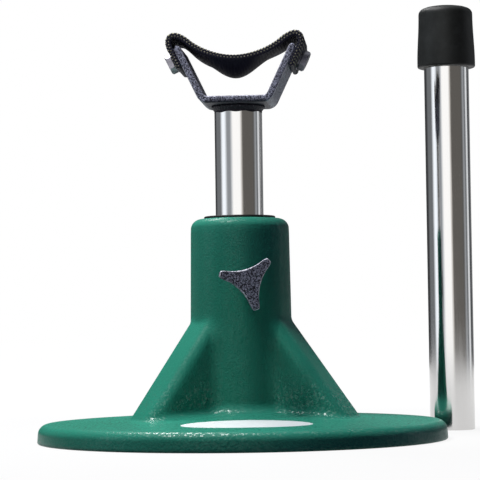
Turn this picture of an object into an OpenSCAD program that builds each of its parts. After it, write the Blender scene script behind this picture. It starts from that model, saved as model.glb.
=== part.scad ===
// Hoof trimming stand: a moulded base with fins, a clamped steel post that slides and turns
// in it, a strap sling in a bent bar cradle, and a spare straight post with a rubber cap.
// Millimetres. The origin is the centre of the base's underside, +Z is up, the clamp faces -Y.

/* [Base] */
// Diameter of the round foot
base_d = 412; // [360:1:460]
// Height of the column's top above the floor
base_h = 223; // [205:1:250]
// Height of the foot at its rim
rim_h = 19; // [16:0.5:28]
// Slope of the foot's crowned top, in degrees
crown_slope = 3.5; // [2:0.5:7]
// Rounding of the rim's upper edge
rim_round = 7.5; // [3:0.5:10]
// Rounding of the rim's lower edge
rim_under_round = 2.5; // [1:0.5:5]
// Diameter of the column at its top
column_top_d = 99; // [94:0.5:106]
// Diameter that the column's side would reach at the floor
column_foot_d = 105; // [100:0.5:112]
// Rounding of the column's upper edge
column_round = 10.5; // [4:0.5:12]
// Fillet from the foot into the column
foot_fillet = 12; // [5:0.5:20]

/* [Fins] */
// Number of fins round the column
fin_count = 3; // [3:1:4]
// Turn of the fins from their even places beside the clamp, in degrees
fin_turn = -1.5; // [-10:0.1:10]
// Thickness of a fin
fin_t = 46; // [36:0.5:52]
// Height at which a fin's ridge meets the column
fin_top_z = 119.6; // [95:0.1:130]
// Radius at which a fin's ridge meets the foot
fin_foot_r = 123.8; // [105:0.1:150]
// Rounding of a fin's ridge
fin_round = 12.5; // [8:0.5:17]
// Fillets along the sides of a fin
fin_fillet = 9; // [5:0.5:12]
// Depth under the ridge at which those fillets end
fillet_drop = 9; // [6:0.5:12]

/* [Socket] */
// Bore of the column
bore_d = 58; // [55:0.5:64]
// Thickness of the floor under the bore
socket_floor = 6; // [4:0.5:12]
// Diameter of the grip ring's flange
ring_flange_d = 72; // [66:0.5:80]
// Thickness of the grip ring's flange
ring_flange_t = 2.5; // [1.5:0.1:4]
// Depth of the grip ring's sleeve in the bore
ring_sleeve_h = 40; // [20:1:46]
// Height of the guide bush
guide_h = 34; // [20:1:50]
// Distance from the guide bush up to the threaded insert
guide_gap = 2; // [1:0.5:6]

/* [Post] */
// Outside diameter of both posts
tube_d = 48.3; // [44:0.1:51]
// Wall of both posts
tube_wall = 3.2; // [2:0.1:5]
// Length of the cradle's post
tube_len = 224; // [190:1:226]
// Height of the cradle's underside above the floor
cradle_rest = 337.5; // [300:0.5:370]
// Turn of the cradle about the post, in degrees
cradle_yaw = -9.5; // [-45:0.5:45]

/* [Clamp] */
// Distance of the clamp screw below the column's top
clamp_drop = 65; // [60:0.5:68]
// Diameter of the clamp screw
screw_d = 12; // [10:0.5:14]
// Outside diameter of the threaded insert
insert_d = 20; // [18:0.5:24]
// Depth of the insert's ends below the faces of the column's wall
insert_inset = 0.5; // [0.2:0.1:2]
// Thickness of the pressure pad
pad_t = 4; // [3:0.1:4.5]
// Diameter of the screw's spigot in the pad
spigot_d = 6; // [4:0.5:8]
// Distance from the post's axis to the knob's face
knob_face = 89; // [82:0.5:100]
// Thickness of the knob's arms
knob_t = 9; // [6:0.5:12]
// Radius to the knob's tips
knob_tip_r = 28.8; // [25:0.1:34]
// Width of the knob's tips
knob_tip_w = 7.5; // [5:0.1:10]
// Radius of the knob at its waists
knob_waist_r = 12; // [11:0.1:14]
// Turn of the knob's first arm from +X, in degrees
knob_turn = 45; // [0:1:120]
// Diameter of the boss behind the knob
boss_d = 22; // [19:0.5:23]
// Length of the boss behind the knob
boss_h = 8; // [4:0.5:12]

/* [Cradle] */
// Thickness of the cradle's flat bar
bar_t = 7; // [6:0.5:9]
// Width of the cradle's flat bar
bar_w = 76; // [60:1:90]
// Inside width of the cradle's floor
cradle_floor_w = 61.8; // [56:0.2:76]
// Rise of the arms above the cradle's floor
arm_rise = 52; // [46:0.5:60]
// Lean of the arms from upright, in degrees
arm_lean = 25.5; // [18:0.5:32]
// Inside radius of the cradle's bends
bend_r = 5; // [3:0.5:8]

/* [Sling] */
// Thickness of the sling
sling_t = 5.5; // [4:0.5:7]
// Width of the sling
sling_w = 76; // [60:1:90]
// Height of the sling's edge over the cradle's floor, at the middle
sling_seat = 41; // [34:0.1:44]
// Depth of the dish between the sling's edges, at the middle
sling_dish = 13.8; // [2:0.1:15]
// Half length of the dished stretch
dish_reach = 40; // [32:0.5:44]
// Slope at which the sling leaves the arms, in degrees
sling_slope = 40; // [34:0.5:46]
// Gap between the sling and the tip of an arm
loop_gap = 4.6; // [2:0.1:6]
// Pull of the loop up from the tail, as the length of its curve's handle
loop_rise = 11.5; // [9:0.5:16]
// Pull of the loop up from the slack run, as the length of its curve's handle
loop_fall = 22; // [18:0.5:28]
// Length of the sling's tail down the outside of an arm
tail_len = 21.5; // [20:0.5:28]
// Length of the slack, nearly straight run below each loop
sling_slack = 16; // [12:0.5:22]
// Half length of the nearly level run at the sling's middle
sling_level = 15; // [8:0.5:22]

/* [Bolts] */
// Diameter of the sling's bolts
bolt_d = 10; // [8:0.5:11]
// Width across the flats of a bolt's head
bolt_flats = 19; // [15:0.5:22]
// Height of a bolt's head
bolt_head_h = 6.2; // [5:0.1:9]
// Height of the chamfer on a bolt's head
head_chamfer = 1.4; // [0.8:0.1:2.5]
// Diameter of a washer
washer_d = 22; // [18:0.5:24]
// Thickness of a washer
washer_t = 1.2; // [1:0.1:3]
// Distance from the tip of an arm to its bolt
bolt_drop = 8.2; // [7.6:0.1:10]

/* [Spare post] */
// Length of the spare post with its cap
spare_len = 460; // [380:1:520]
// Direction from the base to the spare post, in degrees from +X
spare_angle = 28.5; // [0:0.5:60]
// Gap between the rim of the foot and the spare post's cap
spare_gap = 35; // [15:1:80]
// Largest diameter of the rubber cap
cap_d = 62.5; // [58:0.5:68]
// Diameter of the rubber cap near its top
cap_top_d = 58.5; // [56:0.5:62]
// Height of the rubber cap
cap_h = 68; // [55:1:80]
// Rubber between the end of the tube and the top of the cap
cap_roof = 9; // [6:0.5:14]
// Rounding of the cap's upper edge
cap_round = 7; // [4:0.5:10]
// Rise of the domed top of the cap
cap_dome = 3; // [1:0.5:5]
// Height up to which the cap keeps its largest diameter
cap_skirt = 28; // [15:1:40]
// Rounding of the cap's lower edge
cap_edge = 2; // [1:0.5:4]

/* [Clearances] */
// Radial clearance where a piece turns or slides
run_clear = 0.08; // [0.03:0.01:0.1]
// Radial clearance where a piece is pressed in or threaded
fit_clear = 0.02; // [0.01:0.01:0.05]
// Gap between the faces of neighbours that lie on each other
seat_gap = 0.1; // [0.05:0.05:0.3]
// Gap between the pressure pad and the post
pad_gap = 0.3; // [0.2:0.05:0.5]
// Radial clearance of a bolt in its washer and in the sling
hole_clear = 0.5; // [0.3:0.1:1]

/* [Hidden] */
$fn = 96;
arc_steps = 8;
overlap = 1;
sink = 0.1;

moulding_green = [0.13, 0.40, 0.33];
rubber_black = [0.06, 0.06, 0.07];
powder_grey = [0.22, 0.21, 0.25];
bright_steel = [0.75, 0.74, 0.72];

function arc(centre, r, from, to, steps = arc_steps) =
    [for (i = [0:steps]) centre + r * dir(from + (to - from) * i / steps)];
function dir(angle) = [cos(angle), sin(angle)];
// Point that lies at distance d1 along the unit normal n1, and d2 along n2
function meet(n1, d1, n2, d2) =
    [d1 * n2.y - d2 * n1.y, n1.x * d2 - n2.x * d1] / (n1.x * n2.y - n1.y * n2.x);
function bezier(p, t) =
    pow(1 - t, 3) * p[0] + 3 * t * pow(1 - t, 2) * p[1] + 3 * t * t * (1 - t) * p[2] + pow(t, 3) * p[3];
function bezier_heading(p, t) =
    pow(1 - t, 2) * (p[1] - p[0]) + 2 * t * (1 - t) * (p[2] - p[1]) + t * t * (p[3] - p[2]);
function flip(points) = [for (i = [len(points) - 1:-1:0]) [-points[i].x, points[i].y]];

// Section of the foot and column, as radius and height
base_r = base_d / 2;
column_lean = atan((column_foot_d - column_top_d) / 2 / base_h);
column_normal = dir(column_lean);
column_top = [column_top_d / 2, base_h];
crown_normal = dir(90 - crown_slope);
rim_centre = [base_r - rim_round, rim_h - rim_round];
rim_end = rim_centre + rim_round * crown_normal;
fillet_centre = meet(crown_normal, crown_normal * rim_end + foot_fillet,
    column_normal, column_normal * column_top + foot_fillet);
brow_centre = meet([0, 1], base_h - column_round,
    column_normal, column_normal * column_top - column_round);
function column_r(z) = column_top_d / 2 + (base_h - z) * tan(column_lean);
function crown_z(r) = rim_end.y + (rim_end.x - r) * tan(crown_slope);

// Ridge of a fin, as radius and height
ridge_top = [column_r(fin_top_z), fin_top_z];
ridge_foot = [fin_foot_r, crown_z(fin_foot_r)];
ridge_fall = atan2(ridge_top.y - ridge_foot.y, ridge_foot.x - ridge_top.x);
ridge_run = norm(ridge_foot - ridge_top);
fin_depth = ridge_top.x + fin_t / 2;

// Clamp, as distances from the post's axis
pad_face = tube_d / 2 + pad_gap;
screw_tip = pad_face + pad_t;
spigot_len = pad_t / 2;
pad_d = screw_d - 2 * run_clear;
insert_from = bore_d / 2 + insert_inset;
clamp_z = base_h - clamp_drop;
insert_to = sqrt(pow(column_r(clamp_z), 2) - pow(insert_d / 2, 2)) - insert_inset;
knob_back = knob_face - knob_t;

// Cradle and sling, in the cradle's own plane: x across, y up from its floor
arm_up = dir(90 - arm_lean);
arm_out = dir(-arm_lean);
arm_len = arm_rise / cos(arm_lean);
arm_root = [cradle_floor_w / 2, 0];
arm_tip = arm_root + arm_len * arm_up;
bend_centre = meet([0, 1], bend_r, arm_out, arm_out * arm_root - bend_r);
nose_centre = arm_tip + bar_t / 2 * (arm_out - arm_up);
sling_steps = 10;
sling_lanes = 6;
sling_run = -dir(sling_slope);
sling_up = dir(90 + sling_slope);
tail_line = bar_t + seat_gap + sling_t / 2;
tail_end = arm_root + (arm_len - tail_len) * arm_up + tail_line * arm_out;
tail_top = arm_tip + tail_line * arm_out;
loop_end = arm_tip + (sling_t / 2 + loop_gap) * sling_up + sling_t * sling_run;
loop_curve = [tail_top, tail_top + loop_rise * arm_up, loop_end - loop_fall * sling_run, loop_end];
sling_mid = [0, sling_seat - sling_t / 2];
sag_curve = [loop_end, loop_end + sling_slack * sling_run, sling_mid + [sling_level, 0], sling_mid];
bolt_seat = bar_t + sling_t + 2 * seat_gap;
bolt_at = arm_root + (arm_len - bolt_drop) * arm_up;

// Spare post
spare_r = base_r + spare_gap + cap_d / 2;
cap_foot = spare_len - cap_h;
cap_brow = cap_h - cap_dome - cap_round;

// Draws its children with +Z pointing out along the clamp, from the post's axis
module along_clamp()
    translate([0, 0, clamp_z]) rotate([90, 0, 0]) children();

// Draws its children on the cradle, with its floor at z = 0
module on_cradle()
    translate([0, 0, cradle_rest + bar_t]) rotate([0, 0, cradle_yaw]) children();

// Draws its children on the axis of a sling bolt, with +Z pointing out of the arm's inner face
module on_bolt(side)
    on_cradle() rotate([0, 0, side * 180])
        translate([bolt_at.x, 0, bolt_at.y]) rotate([0, 90 + arm_lean, 0]) children();

module at_spare()
    rotate([0, 0, spare_angle]) translate([spare_r, 0, 0]) children();

module ring(outer_d, inner_d, h)
    difference() {
        cylinder(d = outer_d, h = h);
        translate([0, 0, -overlap]) cylinder(d = inner_d, h = h + 2 * overlap);
    }

module base_section()
    polygon(concat(
        [[0, 0]],
        arc([base_r - rim_under_round, rim_under_round], rim_under_round, -90, 0, 4),
        arc(rim_centre, rim_round, 0, 90 - crown_slope),
        arc(fillet_centre, foot_fillet, 270 - crown_slope, 180 + column_lean),
        arc(brow_centre, column_round, column_lean, 90),
        [[0, base_h]]));

// Cross-section of a fin, square to its ridge, with the ridge at y = 0
module fin_section() {
    half = fin_t / 2;
    right = concat([[half, -fin_depth]], arc([half - fin_round, -fin_round], fin_round, 0, 90, 6));
    polygon(concat(right, flip(right)));
}

// Keeps what lies above the underside of the foot, and at least drop under a fin's ridge
module under_ridge(drop) {
    reach = 2 * ridge_run;
    intersection() {
        children();
        translate([ridge_top.x, 0, ridge_top.y]) rotate([0, ridge_fall, 0])
            translate([-reach, -reach, -2 * reach - drop]) cube(2 * reach);
        translate([0, -reach, rim_h / 2]) cube([reach, 2 * reach, base_h]);
    }
}

// Fillet between the side of a fin and the foot
module fin_foot_fillet() {
    corner = [fin_t / 2 + fin_fillet, fin_fillet];
    translate([ridge_foot.x, 0, ridge_foot.y]) rotate([0, crown_slope - 90, 0]) rotate([0, 0, -90])
        linear_extrude(ridge_foot.x - ridge_top.x / 2) polygon(concat(
            [[fin_t / 2 - overlap, -overlap], [corner.x, -overlap]],
            arc(corner - [sink, sink], fin_fillet, 270, 180, 6),
            [[fin_t / 2 - overlap, fin_fillet]]));
}

// Fillet between the side of a fin and the column
module fin_column_fillet() {
    wall = column_r(fin_top_z / 2);
    centre = [sqrt(pow(wall + fin_fillet, 2) - pow(fin_t / 2 + fin_fillet, 2)), fin_t / 2 + fin_fillet];
    linear_extrude(fin_top_z + fin_fillet) polygon(concat(
        [[wall / 2, fin_t / 4], [centre.x, fin_t / 4]],
        arc(centre - [0, sink], fin_fillet, 270, 180 + atan2(centre.y, centre.x), 6)));
}

module fin() {
    under_ridge(0)
        translate([ridge_top.x, 0, ridge_top.y]) rotate([0, 90 + ridge_fall, 0]) rotate([0, 0, 90])
            translate([0, 0, -ridge_top.x / 2]) linear_extrude(ridge_run + 2 * ridge_top.x) fin_section();
    for (side = [0, 1]) mirror([0, side, 0]) under_ridge(fillet_drop) {
        union() {
            fin_foot_fillet();
            fin_column_fillet();
        }
    }
}

module base_body() color(moulding_green)
    difference() {
        union() {
            rotate_extrude() base_section();
            for (i = [0:fin_count - 1]) rotate([0, 0, fin_turn - 90 + (i + 0.5) * 360 / fin_count]) fin();
        }
        translate([0, 0, socket_floor]) cylinder(d = bore_d, h = base_h);
        along_clamp() cylinder(d = insert_d, h = base_r);
    }

module grip_ring() color(rubber_black)
    translate([0, 0, base_h + seat_gap]) {
        difference() {
            union() {
                cylinder(d = ring_flange_d, h = ring_flange_t);
                translate([0, 0, -ring_sleeve_h])
                    cylinder(d = bore_d - 2 * run_clear, h = ring_sleeve_h + ring_flange_t / 2);
            }
            translate([0, 0, -ring_sleeve_h - overlap])
                cylinder(d = tube_d + 2 * run_clear, h = ring_sleeve_h + ring_flange_t + 2 * overlap);
        }
    }

module guide_bush() color(rubber_black)
    translate([0, 0, clamp_z - insert_d / 2 - guide_gap - guide_h])
        ring(bore_d - 2 * fit_clear, tube_d + 2 * run_clear, guide_h);

module clamp_insert() color("darkgoldenrod")
    along_clamp() translate([0, 0, insert_from])
        ring(insert_d - 2 * fit_clear, screw_d + 2 * run_clear, insert_to - insert_from);

module clamp_pad() color("darkgoldenrod")
    along_clamp() translate([0, 0, pad_face]) difference() {
        cylinder(d = pad_d, h = pad_t);
        translate([0, 0, pad_t - spigot_len])
            cylinder(d = spigot_d + 2 * run_clear, h = spigot_len + overlap);
    }

module clamp_screw() color(bright_steel)
    along_clamp() {
        translate([0, 0, screw_tip + seat_gap]) cylinder(d = screw_d, h = knob_face - knob_t / 2 - screw_tip);
        translate([0, 0, screw_tip - spigot_len + seat_gap]) cylinder(d = spigot_d, h = spigot_len + overlap);
    }

// Star with three blunt tips and a hollow side between each two
module knob_star() {
    corner = knob_tip_r * dir(60) + knob_tip_w / 2 * dir(-30);
    reach = (corner * corner - pow(knob_waist_r, 2)) / 2 / (corner.x - knob_waist_r);
    sweep = atan2(corner.y, reach - corner.x);
    side = arc([reach, 0], reach - knob_waist_r, 180 + sweep, 180 - sweep);
    polygon([for (i = [0:2], p = side)
        [[cos(i * 120), -sin(i * 120)] * p, [sin(i * 120), cos(i * 120)] * p]]);
}

module clamp_knob() color(powder_grey)
    along_clamp() difference() {
        union() {
            translate([0, 0, knob_back]) rotate([0, 0, knob_turn - 60]) linear_extrude(knob_t) knob_star();
            translate([0, 0, knob_back - boss_h]) cylinder(d = boss_d, h = boss_h + overlap);
        }
        translate([0, 0, knob_back - boss_h - overlap])
            cylinder(d = screw_d + 2 * fit_clear, h = boss_h + overlap + knob_t / 2 + 2 * seat_gap);
    }

module post_tube() color(bright_steel)
    translate([0, 0, cradle_rest - tube_len]) ring(tube_d, tube_d - 2 * tube_wall, tube_len);

module cradle_section() {
    right = concat(
        arc(bend_centre, bend_r + bar_t, 270, 360 - arm_lean),
        arc(nose_centre, bar_t / 2, -arm_lean, 180 - arm_lean),
        arc(bend_centre, bend_r, 360 - arm_lean, 270));
    polygon(concat(right, flip(right)));
}

module cradle_bracket() color(powder_grey)
    difference() {
        on_cradle() rotate([90, 0, 0]) linear_extrude(bar_w, center = true) cradle_section();
        for (side = [0, 1]) on_bolt(side) translate([0, 0, -bar_t])
            cylinder(d = bolt_d + 2 * fit_clear, h = 3 * bar_t);
    }

// Stations of the sling from the end of one tail to its middle: place, upward normal, half thickness
function sling_station(p, heading, half) = [p, [heading.y, -heading.x] / norm(heading), half];
tail_stations = [for (a = [30, 60, 90])
    sling_station(tail_end + sling_t / 2 * (1 - cos(a)) * arm_up, arm_up, sling_t / 2 * sin(a))];
loop_stations = [for (i = [0:sling_steps]) let (t = i / sling_steps)
    sling_station(bezier(loop_curve, t), bezier_heading(loop_curve, t), sling_t / 2)];
sag_stations = [for (i = [1:sling_steps]) let (t = i / sling_steps)
    sling_station(bezier(sag_curve, t), bezier_heading(sag_curve, t), sling_t / 2)];
half_sling = concat(tail_stations, loop_stations, sag_stations);
other_half = [for (i = [len(half_sling) - 2:-1:0]) let (s = half_sling[i])
    [[-s[0].x, s[0].y], [-s[1].x, s[1].y], s[2]]];
sling_path = concat(half_sling, other_half);

function sling_dip(x) = abs(x) < dish_reach ? sling_dish * pow(cos(90 * x / dish_reach), 2) : 0;
function sling_point(s, lane, face) = let (v = 2 * lane / sling_lanes - 1, p = s[0] + face * s[2] * s[1])
    [p.x, v * sling_w / 2, p.y - sling_dip(s[0].x) * (1 - v * v)];
function sling_ring(s) = concat(
    [for (lane = [0:sling_lanes]) sling_point(s, lane, 1)],
    [for (lane = [sling_lanes:-1:0]) sling_point(s, lane, -1)]);

module sling_belt() {
    sides = 2 * (sling_lanes + 1);
    last = (len(sling_path) - 1) * sides;
    walls = [for (i = [0:len(sling_path) - 2], j = [0:sides - 1]) let (a = i * sides, k = (j + 1) % sides)
        each [[a + j, a + k, a + sides + j], [a + k, a + sides + k, a + sides + j]]];
    ends = [for (j = [0:sling_lanes - 1]) let (a = j, b = j + 1, c = sides - 2 - j, d = sides - 1 - j)
        each [[b, a, d], [b, d, c], [last + a, last + b, last + d], [last + b, last + c, last + d]]];
    polyhedron([for (s = sling_path) each sling_ring(s)], concat(walls, ends));
}

module sling() color(rubber_black)
    difference() {
        on_cradle() sling_belt();
        for (side = [0, 1]) on_bolt(side) translate([0, 0, bar_t])
            cylinder(d = bolt_d + 2 * hole_clear, h = 3 * sling_t / 2);
    }

// Hexagon head with a chamfered outer face, on a shank that ends inside the arm
module sling_bolt(side) color(powder_grey)
    on_bolt(side) {
        corner_d = bolt_flats / cos(30);
        translate([0, 0, bolt_seat + washer_t + seat_gap]) intersection() {
            cylinder(d = corner_d, h = bolt_head_h, $fn = 6);
            union() {
                cylinder(d = 2 * corner_d, h = bolt_head_h - head_chamfer);
                translate([0, 0, bolt_head_h - head_chamfer])
                    cylinder(d1 = corner_d, d2 = corner_d - 2 * head_chamfer, h = head_chamfer);
            }
        }
        translate([0, 0, seat_gap]) cylinder(d = bolt_d, h = bolt_seat + washer_t + overlap);
    }

module sling_washer(side) color(powder_grey)
    on_bolt(side) translate([0, 0, bolt_seat])
        ring(washer_d, bolt_d + 2 * hole_clear, washer_t);

module sling_bolt_left() sling_bolt(1);
module sling_bolt_right() sling_bolt(0);
module sling_washer_left() sling_washer(1);
module sling_washer_right() sling_washer(0);

module spare_tube() color(bright_steel)
    at_spare() ring(tube_d, tube_d - 2 * tube_wall, spare_len - cap_roof);

module spare_cap() color(rubber_black)
    at_spare() translate([0, 0, cap_foot]) difference() {
        rotate_extrude() polygon(concat(
            [[0, 0]],
            arc([cap_d / 2 - cap_edge, cap_edge], cap_edge, -90, 0, 4),
            [[cap_d / 2, cap_skirt]],
            arc([cap_top_d / 2 - cap_round, cap_brow], cap_round, 0, 80),
            [[0, cap_h]]));
        translate([0, 0, -overlap])
            cylinder(d = tube_d + 2 * fit_clear, h = cap_h - cap_roof + seat_gap + overlap);
    }

base_body();
grip_ring();
guide_bush();
clamp_insert();
clamp_pad();
clamp_screw();
clamp_knob();
post_tube();
cradle_bracket();
sling();
sling_bolt_left();
sling_bolt_right();
sling_washer_left();
sling_washer_right();
spare_tube();
spare_cap();
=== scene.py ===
# %% [markdown]
# # Hoof trimming stand
# The stand holds a horse's leg while its hoof is trimmed. A green moulded base carries a bright steel
# post that slides and turns in it, a knob clamps the post, and a strap sling hangs in a bent bar on top.
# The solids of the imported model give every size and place. This script gives each of them the surface
# that the real piece has: its skin, weave, coat, thread and polish.

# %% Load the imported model
import math

import bmesh
import bpy
import numpy as np
from mathutils import Matrix, Vector


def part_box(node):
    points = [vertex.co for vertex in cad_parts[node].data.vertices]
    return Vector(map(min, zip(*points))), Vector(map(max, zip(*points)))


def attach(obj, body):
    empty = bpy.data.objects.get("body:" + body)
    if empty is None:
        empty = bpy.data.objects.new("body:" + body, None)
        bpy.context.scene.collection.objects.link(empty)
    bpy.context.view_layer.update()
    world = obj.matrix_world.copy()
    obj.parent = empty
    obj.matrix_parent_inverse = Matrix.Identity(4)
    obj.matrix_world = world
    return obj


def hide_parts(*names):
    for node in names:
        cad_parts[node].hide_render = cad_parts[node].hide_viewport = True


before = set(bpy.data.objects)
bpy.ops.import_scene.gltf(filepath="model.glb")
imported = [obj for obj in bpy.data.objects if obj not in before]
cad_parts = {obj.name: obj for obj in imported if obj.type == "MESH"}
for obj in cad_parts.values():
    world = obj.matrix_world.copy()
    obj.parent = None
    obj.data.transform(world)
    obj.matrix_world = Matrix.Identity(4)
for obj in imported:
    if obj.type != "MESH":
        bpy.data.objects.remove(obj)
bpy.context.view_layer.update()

scene = bpy.context.scene
scene.view_settings.view_transform = "Standard"
mm = 0.001
print("nodes", sorted(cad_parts))

# %% [markdown]
# ## Camera
# The photograph was taken from about two metres with a long lens, a little to the left of the clamp and
# near the height of the fins. It is tilted up slightly, so the horizon lies under the middle of the
# picture.

# %% Camera
view_turn = math.radians(-5)
view_distance = 2.056
view_height = 0.1175
view_tilt = math.radians(2.345)
view_roll = math.radians(-0.8)
lens = bpy.data.cameras.new("camera")
lens.lens = 152.7
lens.sensor_width = 36
camera = bpy.data.objects.new("camera", lens)
scene.collection.objects.link(camera)
camera_at = (math.sin(view_turn) * view_distance, -math.cos(view_turn) * view_distance, view_height)
camera.matrix_world = (
    Matrix.Translation(camera_at)
    @ Matrix.Rotation(view_turn, 4, "Z")
    @ Matrix.Rotation(math.pi / 2 + view_tilt, 4, "X")
    @ Matrix.Rotation(view_roll, 4, "Z")
)
scene.camera = camera
print("camera", tuple(round(x, 3) for x in camera.location))

# %% [markdown]
# ## Tools for surfaces
# A moulding, a bent bar and a strap are all surfaces over two parameters: round and up, or along and
# across. `skin` turns such a grid of points into a mesh, welds its seams and poles, and turns its faces
# outwards. `rounded` softens the corners of an outline, because no real edge is sharp, and `turned` spins
# an outline round an axis, as a lathe does.

# %% Mesh from a grid
def skin(name, grid, loop_rows=False, plane=None, marks={}):
    """Mesh P(i, j) over rows i and columns j, in metres; plane is the flat place of each grid point, also in
    metres, and marks are named values at each point that finishes use."""
    index = np.arange(grid.shape[0] * grid.shape[1]).reshape(grid.shape[:2])
    index = np.vstack([index, index[:1]]) if loop_rows else index
    index = np.hstack([index, index[:, :1]])
    cells = lambda a: np.stack([a[:-1, :-1], a[:-1, 1:], a[1:, 1:], a[1:, :-1]], axis=2)
    quads = cells(index).reshape(-1, 4)
    points = grid.reshape(-1, 3)
    a, b, c, d = points[quads].transpose(1, 0, 2)
    volume = np.einsum("ij,ij->", a, np.cross(b, c) + np.cross(c, d))
    order = slice(None) if volume > 0 else slice(None, None, -1)
    mesh = bpy.data.meshes.new(name)
    mesh.from_pydata(points.tolist(), [], quads[:, order].tolist())
    if plane is not None:
        flat = cells(plane).reshape(-1, 4, 2)[:, order]
        mesh.uv_layers.new(name="UVMap").uv.foreach_set("vector", flat.ravel())
    for mark, value in marks.items():
        mesh.attributes.new(mark, "FLOAT", "POINT").data.foreach_set("value", value.ravel())
    work = bmesh.new()
    work.from_mesh(mesh)
    bmesh.ops.remove_doubles(work, verts=work.verts, dist=1e-6)
    work.to_mesh(mesh)
    work.free()
    mesh.polygons.foreach_set("use_smooth", np.ones(len(mesh.polygons), bool))
    piece = bpy.data.objects.new(name, mesh)
    scene.collection.objects.link(piece)
    return piece


# %% Outlines and grids
def ramp(value, start, end):
    """0 up to start, 1 from end on and straight between; start may lie above end."""
    return np.clip((value - start) / (end - start), 0, 1)


def lengths(line):
    """Length along a line up to each of its points."""
    return np.concatenate([[0], np.cumsum(np.linalg.norm(np.diff(line, axis=0), axis=1))])


def ringed(r, a, z):
    """Points (r cos a, r sin a, z) round an axis, given in millimetres and returned in metres."""
    return np.stack([r * np.cos(a), r * np.sin(a), z + 0 * a], axis=2) * mm


def placed(grid, place):
    """Points turned and moved by the matrix place: R p + t."""
    turn = np.array(place)
    return grid @ turn[:3, :3].T + turn[:3, 3]


def rounded(corners, radius, closed=True, steps=5, hold=0.4):
    """Outline through corners with each one rounded, P = C + (sin((1-t)w) S + sin(tw) E) / sin w about its
    centre C, and a point beside each arc that keeps the flats flat."""
    corners = np.asarray(corners, float)
    radii = np.broadcast_to(np.asarray(radius, float), len(corners))[:, None]
    unit = lambda v: v / np.maximum(np.linalg.norm(v, axis=1, keepdims=True), 1e-9)
    into = unit(corners - np.roll(corners, 1, axis=0))
    away = unit(np.roll(corners, -1, axis=0) - corners)
    half = np.arccos(np.clip((into * away).sum(1, keepdims=True), -1, 1)) / 2
    reach = radii * np.tan(half)
    centre = corners + unit(away - into) * radii / np.cos(half)
    start = corners - into * reach
    end = corners + away * reach
    t = np.linspace(0, 1, steps + 1)[:, None, None]
    sweep = np.sin((1 - t) * 2 * half) * (start - centre) + np.sin(t * 2 * half) * (end - centre)
    arcs = centre + sweep / np.sin(2 * half)
    arcs = np.concatenate([(start - hold * into)[None], arcs, (end + hold * away)[None]])
    runs = arcs.transpose(1, 0, 2)
    if closed:
        return runs.reshape(-1, 2)
    return np.vstack([corners[:1], runs[1:-1].reshape(-1, 2), corners[-1:]])


def turned(name, outline, closed=True, sides=144, place=Matrix.Identity(4)):
    """Surface of revolution (r cos a, r sin a, z) of an outline in millimetres, set down by place."""
    a = np.linspace(0, 2 * np.pi, sides, endpoint=False)
    r, z = np.asarray(outline).T[:, :, None]
    return skin(name, placed(ringed(r, a, z), place), loop_rows=closed)


# %% [markdown]
# ## Tools for finishes
# A finish is a small chain of shader sums. `Sum` wraps a socket, so that patterns are written as
# arithmetic, `Chain` adds the nodes of a material or of the world, and `Finish` is a material with its
# one surface shader.

# %% Finishes from arithmetic
class Sum:
    """A shader value that can be added, subtracted and multiplied."""

    def __init__(self, chain, socket):
        self.chain = chain
        self.socket = socket

    def math(self, operation, *values, clamp=False):
        """A Math node on values or links, kept from 0 to 1 where clamp is set."""
        settings = {"operation": operation, "use_clamp": clamp}
        return self.chain.node("ShaderNodeMath", settings, dict(enumerate(values)))

    def __add__(self, other):
        return self.math("ADD", self, other)

    def __sub__(self, other):
        return self.math("SUBTRACT", self, other)

    def __rsub__(self, other):
        return self.math("SUBTRACT", other, self)

    def __mul__(self, other):
        return self.math("MULTIPLY", self, other)

    __radd__ = __add__
    __rmul__ = __mul__

    def wave(self):
        """Sine of this value."""
        return self.math("SINE", self)

    def larger(self, other):
        """The larger of this value and another."""
        return self.math("MAXIMUM", self, other)

    def between(self, low, high):
        """0 below low, 1 above high and a smooth step between."""
        return self.chain.node("ShaderNodeMapRange", {"interpolation_type": "SMOOTHSTEP"},
                               {"Value": self, "From Min": low, "From Max": high})


class Chain:
    """The nodes of one material or world."""

    def __init__(self, tree):
        self.tree = tree

    def node(self, kind, settings, sockets, output=0):
        """Adds a node, makes its settings first, and then fills or links its sockets."""
        made = self.tree.nodes.new(kind)
        for key, value in settings.items():
            setattr(made, key, value)
        for key, value in sockets.items():
            if isinstance(value, Sum):
                self.tree.links.new(value.socket, made.inputs[key])
            else:
                made.inputs[key].default_value = value
        return Sum(self, made.outputs[output])

    def mix(self, factor, first, second):
        """Colour that goes from the first to the second as the factor goes from 0 to 1."""
        blend = {"data_type": "RGBA", "clamp_factor": True}
        return self.node("ShaderNodeMix", blend, {"Factor": factor, 6: first, 7: second}, 2)

    def looked_at(self):
        """1 on the way to the camera, a mirror or glass, and 0 on the way to a dull surface."""
        straight = self.node("ShaderNodeLightPath", {}, {}, "Is Camera Ray")
        rays = straight.socket.node.outputs
        mirrored = Sum(self, rays["Is Glossy Ray"])
        through = Sum(self, rays["Is Transmission Ray"])
        return straight.math("ADD", straight + mirrored, through, clamp=True)


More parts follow.
